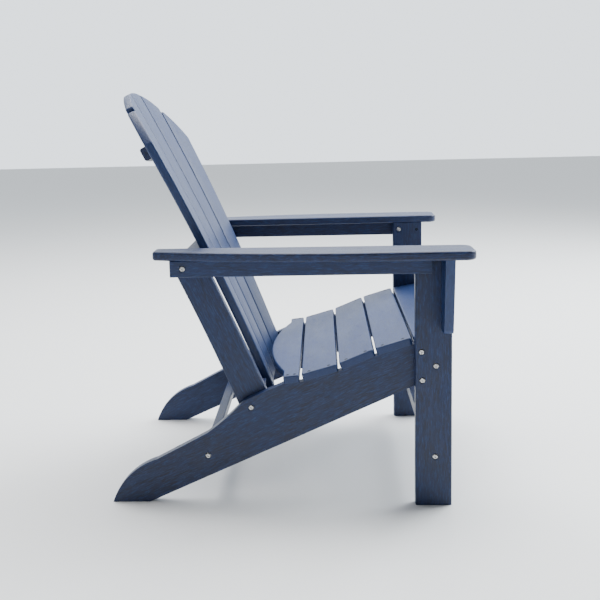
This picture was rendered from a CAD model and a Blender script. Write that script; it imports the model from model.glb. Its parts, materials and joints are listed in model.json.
import json
import math

import bpy
from mathutils import Matrix, Vector

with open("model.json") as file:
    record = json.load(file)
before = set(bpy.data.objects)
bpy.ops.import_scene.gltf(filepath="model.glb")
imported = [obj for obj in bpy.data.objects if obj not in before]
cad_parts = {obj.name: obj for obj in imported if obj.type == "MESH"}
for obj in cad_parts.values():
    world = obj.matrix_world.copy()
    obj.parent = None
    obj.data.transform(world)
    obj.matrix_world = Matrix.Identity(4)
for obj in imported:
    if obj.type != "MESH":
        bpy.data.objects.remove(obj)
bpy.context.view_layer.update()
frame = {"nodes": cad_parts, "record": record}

# Sizes and places are in metres, in the row frame: +Z up, the chair faces -Y, X across it.

# Widths of the rounded edges, and which edges count as sharp
BOARD_EDGE = 0.0022
BATTEN_EDGE = 0.0045
FASTENER_EDGE = 0.0004
SHARP_ANGLE = math.radians(35)
WELD_DISTANCE = 1e-6

# Radii over which edges look worn
BOARD_WEAR = 0.0018
FASTENER_WEAR = 0.0005

# Linear colours of the poly lumber
NAVY_DEEP = (0.0020, 0.0044, 0.020, 1.0)
NAVY = (0.0050, 0.015, 0.066, 1.0)
NAVY_PALE = (0.014, 0.044, 0.155, 1.0)
CHALK = (0.07, 0.12, 0.24, 1.0)

# Linear colours of the stainless steel and of the coated screws, each with its stained patches
STEEL = (0.62, 0.61, 0.60, 1.0)
STEEL_DARK = (0.22, 0.22, 0.22, 1.0)
COATED = (0.010, 0.013, 0.022, 1.0)
COATED_WORN = (0.05, 0.055, 0.07, 1.0)

# Roughness that the coating adds
COATED_DULLNESS = 0.25

# How far each board's tone goes towards pale navy
PALE_TONE = 0.45
TONE_STEP = 0.08

# Direction of the extruded grain, by the start of the node's name
BACK_LEAN = math.radians(24.5)
RAIL_SLOPE = math.radians(24.1)
GRAIN = {
    "front_leg": (0, 0, 1),
    "corbel": (0, 0, 1),
    "arm_cross_rail": (1, 0, 0),
    "arm_rail": (0, 1, 0),
    "arm": (0, 1, 0),
    "side_rail": (0, -math.cos(RAIL_SLOPE), math.sin(RAIL_SLOPE)),
    "upright": (0, math.sin(BACK_LEAN), math.cos(BACK_LEAN)),
    "back_slat": (0, math.sin(BACK_LEAN), math.cos(BACK_LEAN)),
}
GRAIN_ACROSS = (1, 0, 0)

# Step through the noise from one board to the next, so that no two have the same grain
GRAIN_SHIFT = (0.37, 1.9, 0.83)
PALE_BOARDS = ("seat_slat", "back_slat", "corbel")

# Floor: half its side, and its two tones
FLOOR_REACH = 14.0
FLOOR_PALE = (0.88, 0.88, 0.87, 1.0)
FLOOR_MOTTLE = (0.84, 0.84, 0.84, 1.0)

# Surroundings: strengths on the -X and +X sides, and where the fade between them starts and ends
SKY = (0.86, 0.93, 1.0, 1.0)
ROOM_DIM = 0.12
COVE_BRIGHT = 2.2
ROOM_EDGE = -0.35
COVE_EDGE = 0.75

# The area lights aim at the middle of the chair
LIGHT_TARGET = (0.0, 0.0, 0.45)
COOL_LIGHT = (0.90, 0.96, 1.0)
WHITE_LIGHT = (1.0, 1.0, 1.0)
WARM_LIGHT = (1.0, 0.99, 0.97)

# Camera: sensor and lens in millimetres, and its place and directions
SENSOR_WIDTH = 36.0
LENS = 51.3
LENS_SHIFT = (0.030, -0.091)
CAMERA_PLACE = (-2.021, -0.0855, 0.8231)
CAMERA_RIGHT = (0.04582, -0.99864, -0.02479)
CAMERA_UP = (0.14778, -0.01776, 0.98886)


# ---- Shader helpers ----

class Nodes:
    """Adds shader nodes to one material and links them."""

    def __init__(self, name):
        self.material = bpy.data.materials.new(name)
        self.material.use_nodes = True
        self.tree = self.material.node_tree
        self.tree.nodes.clear()

    def add(self, kind, **inputs):
        node = self.tree.nodes.new(kind)
        for name, value in inputs.items():
            self.put(node.inputs[name.replace("_", " ")], value)
        return node

    def put(self, socket, value):
        if isinstance(value, bpy.types.NodeSocket):
            self.tree.links.new(value, socket)
        else:
            socket.default_value = value

    def math(self, operation, first, second=0.0):
        node = self.tree.nodes.new("ShaderNodeMath")
        node.operation = operation
        self.put(node.inputs[0], first)
        self.put(node.inputs[1], second)
        return node.outputs[0]

    def mix(self, factor, first, second):
        node = self.tree.nodes.new("ShaderNodeMix")
        node.data_type = "RGBA"
        self.put(node.inputs[0], factor)
        self.put(node.inputs[6], first)
        self.put(node.inputs[7], second)
        return node.outputs[2]

    def ramp(self, value, low, high, out_low=0.0, out_high=1.0):
        node = self.tree.nodes.new("ShaderNodeMapRange")
        self.put(node.inputs["Value"], value)
        node.inputs["From Min"].default_value = low
        node.inputs["From Max"].default_value = high
        node.inputs["To Min"].default_value = out_low
        node.inputs["To Max"].default_value = out_high
        return node.outputs["Result"]

    def noise(self, vector, scale, detail, roughness=0.55, distortion=0.0):
        return self.add("ShaderNodeTexNoise", Vector=vector, Scale=scale, Detail=detail,
                        Roughness=roughness, Distortion=distortion).outputs["Fac"]


def grain_space(nodes, direction, seed):
    """Object coordinates turned so that X runs along the board, and moved to the board's own stretch."""
    along = Vector(direction).normalized()
    turn = along.rotation_difference(Vector((1, 0, 0))).to_euler()
    where = nodes.add("ShaderNodeTexCoord").outputs["Object"]
    shift = tuple(step * seed for step in GRAIN_SHIFT)
    turned = nodes.add("ShaderNodeMapping", Vector=where, Rotation=tuple(turn), Location=shift)
    return turned.outputs["Vector"]


def stretch(nodes, vector, along, across):
    """Noise cells per metre along the board and across it."""
    return nodes.add("ShaderNodeMapping", Vector=vector, Scale=(along, across, across)).outputs["Vector"]


def edge_mask(nodes, radius):
    """1 on sharp edges and 0 on flats, from how far a softened normal turns away."""
    soft = nodes.add("ShaderNodeBevel", Radius=radius).outputs["Normal"]
    true = nodes.add("ShaderNodeNewGeometry").outputs["Normal"]
    dot = nodes.tree.nodes.new("ShaderNodeVectorMath")
    dot.operation = "DOT_PRODUCT"
    nodes.put(dot.inputs[0], soft)
    nodes.put(dot.inputs[1], true)
    return nodes.ramp(dot.outputs["Value"], 0.995, 0.90)


def lumber(name, direction, seed, paleness):
    """Navy poly lumber: streaks and fine brushed lines along the board, clouding, chalky worn edges."""
    nodes = Nodes(name)
    space = grain_space(nodes, direction, seed)
    # Noise layers, from long streaks down to single hairs, then clouds, pits and scuffs
    streaks = nodes.noise(stretch(nodes, space, 24.0, 240.0), 1.0, 6.0, 0.70, 0.3)
    lines = nodes.noise(stretch(nodes, space, 60.0, 560.0), 1.0, 4.0, 0.65, 0.4)
    hairs = nodes.noise(stretch(nodes, space, 60.0, 1900.0), 1.0, 2.0, 0.6)
    clouds = nodes.noise(stretch(nodes, space, 9.0, 22.0), 1.0, 4.0, 0.55)
    pits = nodes.noise(stretch(nodes, space, 260.0, 800.0), 1.0, 2.0, 0.5)
    scuffs = nodes.noise(stretch(nodes, space, 34.0, 60.0), 1.0, 6.0, 0.7)

    tone = nodes.mix(nodes.ramp(streaks, 0.36, 0.66), NAVY_DEEP, NAVY)
    tone = nodes.mix(nodes.ramp(lines, 0.50, 0.70), tone, NAVY_PALE)
    tone = nodes.mix(nodes.ramp(clouds, 0.40, 0.72, 0.0, 0.20), tone, NAVY_PALE)
    tone = nodes.mix(paleness, tone, NAVY_PALE)
    tone = nodes.mix(nodes.ramp(pits, 0.62, 0.74, 0.0, 0.5), tone, NAVY_DEEP)
    patchy = nodes.ramp(scuffs, 0.42, 0.68, 0.05, 0.55)
    worn = nodes.math("MULTIPLY", edge_mask(nodes, BOARD_WEAR), patchy)
    tone = nodes.mix(worn, tone, CHALK)

    gloss = nodes.ramp(lines, 0.3, 0.7, 0.40, 0.52)
    gloss = nodes.math("ADD", gloss, nodes.ramp(clouds, 0.3, 0.7, -0.04, 0.05))
    gloss = nodes.math("ADD", gloss, nodes.ramp(scuffs, 0.55, 0.75, 0.0, 0.10))

    height = nodes.math("ADD", nodes.math("MULTIPLY", streaks, 0.9), nodes.math("MULTIPLY", lines, 0.75))
    height = nodes.math("ADD", height, nodes.math("MULTIPLY", hairs, 0.35))
    height = nodes.math("SUBTRACT", height, nodes.ramp(pits, 0.60, 0.78, 0.0, 0.5))
    bump = nodes.add("ShaderNodeBump", Strength=0.55, Distance=0.00045, Height=height)

    shader = nodes.add("ShaderNodeBsdfPrincipled", Base_Color=tone, Roughness=gloss,
                       IOR=1.49, Normal=bump.outputs["Normal"])
    shader.inputs["Specular IOR Level"].default_value = 0.46
    shader.inputs["Coat Weight"].default_value = 0.05
    shader.inputs["Coat Roughness"].default_value = 0.30
    nodes.add("ShaderNodeOutputMaterial", Surface=shader.outputs["BSDF"])
    return nodes.material


def steel(name, seed, bright, dark, dullness):
    """Stamped heads: fine scratches, dull patches and cleaner rims."""
    nodes = Nodes(name)
    space = grain_space(nodes, (1, 0, 0), seed)
    scratches = nodes.noise(stretch(nodes, space, 700.0, 5200.0), 1.0, 4.0, 0.7)
    stains = nodes.noise(space, 420.0, 5.0, 0.6)
    tone = nodes.mix(nodes.ramp(stains, 0.40, 0.72), bright, dark)
    rim = nodes.math("MULTIPLY", edge_mask(nodes, FASTENER_WEAR), 0.4)
    tone = nodes.mix(rim, tone, bright)

    gloss = nodes.ramp(scratches, 0.3, 0.7, 0.22, 0.38)
    gloss = nodes.math("ADD", gloss, nodes.ramp(stains, 0.4, 0.7, 0.0, 0.14))
    gloss = nodes.math("ADD", gloss, dullness)
    bump = nodes.add("ShaderNodeBump", Strength=0.4, Distance=0.00006, Height=scratches)
    shader = nodes.add("ShaderNodeBsdfPrincipled", Base_Color=tone, Metallic=1.0, Roughness=gloss,
                       Normal=bump.outputs["Normal"])
    nodes.add("ShaderNodeOutputMaterial", Surface=shader.outputs["BSDF"])
    return nodes.material


# ---- The chair's pieces ----

def paleness_of(name):
    """Slats and corbels are the palest; any other board has one of three tones, by its name's length."""
    if name.startswith(PALE_BOARDS):
        return PALE_TONE
    return TONE_STEP * (len(name) % 3)


def grain_of(name):
    """The first start in GRAIN that fits the name; every other board runs across the chair."""
    for start, direction in GRAIN.items():
        if name.startswith(start):
            return direction
    return GRAIN_ACROSS


def soften(piece, width, segments):
    """Weld the split faces and round the sharp edges inwards."""
    weld = piece.modifiers.new("weld", "WELD")
    weld.merge_threshold = WELD_DISTANCE
    bevel = piece.modifiers.new("edges", "BEVEL")
    bevel.width = width
    bevel.segments = segments
    bevel.limit_method = "ANGLE"
    bevel.angle_limit = SHARP_ANGLE


slots = {part["node"]: part["material_slot"] for part in frame["record"]["subparts"]}
for seed, (name, piece) in enumerate(sorted(frame["nodes"].items())):
    if slots[name] == "lumber":
        finish = lumber(f"lumber_{name}", grain_of(name), seed + 1, paleness_of(name))
        edge = BATTEN_EDGE if name == "upper_batten" else BOARD_EDGE
        soften(piece, edge, 3)
    elif slots[name] == "coated_screws":
        finish = steel(f"coated_{name}", seed + 1, COATED, COATED_WORN, COATED_DULLNESS)
        soften(piece, FASTENER_EDGE, 2)
    else:
        finish = steel(f"stainless_{name}", seed + 1, STEEL, STEEL_DARK, 0.0)
        soften(piece, FASTENER_EDGE, 2)
    piece.data.materials.clear()
    piece.data.materials.append(finish)


# ---- Studio ----

def floor_material():
    nodes = Nodes("pale_floor")
    where = nodes.add("ShaderNodeTexCoord").outputs["Object"]
    mottle = nodes.noise(where, 1.3, 4.0, 0.5)
    tone = nodes.mix(nodes.ramp(mottle, 0.3, 0.7, 0.0, 0.12), FLOOR_PALE, FLOOR_MOTTLE)
    shader = nodes.add("ShaderNodeBsdfPrincipled", Base_Color=tone, Roughness=0.75)
    nodes.add("ShaderNodeOutputMaterial", Surface=shader.outputs["BSDF"])
    return nodes.material


def studio_floor():
    signs = ((-1, -1), (1, -1), (1, 1), (-1, 1))
    corners = [(x * FLOOR_REACH, y * FLOOR_REACH, 0) for x, y in signs]
    mesh = bpy.data.meshes.new("floor")
    mesh.from_pydata(corners, [], [(0, 1, 2, 3)])
    floor = bpy.data.objects.new("floor", mesh)
    floor.data.materials.append(floor_material())
    bpy.context.collection.objects.link(floor)


def area_light(name, place, size, power, colour):
    data = bpy.data.lights.new(name, "AREA")
    data.shape = "RECTANGLE"
    data.size, data.size_y = size
    data.energy = power
    data.color = colour
    light = bpy.data.objects.new(name, data)
    light.location = place
    aim = Vector(LIGHT_TARGET) - Vector(place)
    light.rotation_euler = aim.to_track_quat("-Z", "Y").to_euler()
    bpy.context.collection.objects.link(light)


def studio_world():
    """A bright cove on the +X side that fades to a dim room on the -X side."""
    world = bpy.data.worlds.new("studio")
    world.use_nodes = True
    tree = world.node_tree
    backdrop = tree.nodes["Background"]
    backdrop.inputs["Color"].default_value = SKY
    where = tree.nodes.new("ShaderNodeTexCoord")
    split = tree.nodes.new("ShaderNodeSeparateXYZ")
    fade = tree.nodes.new("ShaderNodeMapRange")
    fade.interpolation_type = "SMOOTHSTEP"
    fade.inputs["From Min"].default_value = ROOM_EDGE
    fade.inputs["From Max"].default_value = COVE_EDGE
    fade.inputs["To Min"].default_value = ROOM_DIM
    fade.inputs["To Max"].default_value = COVE_BRIGHT
    tree.links.new(where.outputs["Generated"], split.inputs["Vector"])
    tree.links.new(split.outputs["X"], fade.inputs["Value"])
    tree.links.new(fade.outputs["Result"], backdrop.inputs["Strength"])
    bpy.context.scene.world = world


def studio_light():
    studio_world()
    area_light("sky_front", place=(1.6, -2.8, 2.6), size=(2.6, 2.2), power=240.0, colour=COOL_LIGHT)
    area_light("overhead", place=(1.0, 0.3, 3.6), size=(3.2, 3.2), power=240.0, colour=WHITE_LIGHT)
    area_light("fill_side", place=(-3.4, 1.4, 2.6), size=(1.6, 1.6), power=20.0, colour=WARM_LIGHT)


def photo_camera():
    data = bpy.data.cameras.new("camera")
    data.sensor_fit = "HORIZONTAL"
    data.sensor_width = SENSOR_WIDTH
    data.lens = LENS
    data.shift_x, data.shift_y = LENS_SHIFT
    camera = bpy.data.objects.new("camera", data)
    right = Vector(CAMERA_RIGHT)
    up = Vector(CAMERA_UP)
    back = right.cross(up)
    turn = Matrix((right, up, back)).transposed()
    camera.matrix_world = Matrix.Translation(CAMERA_PLACE) @ turn.to_4x4()
    bpy.context.collection.objects.link(camera)
    bpy.context.scene.camera = camera


studio_floor()
studio_light()
photo_camera()
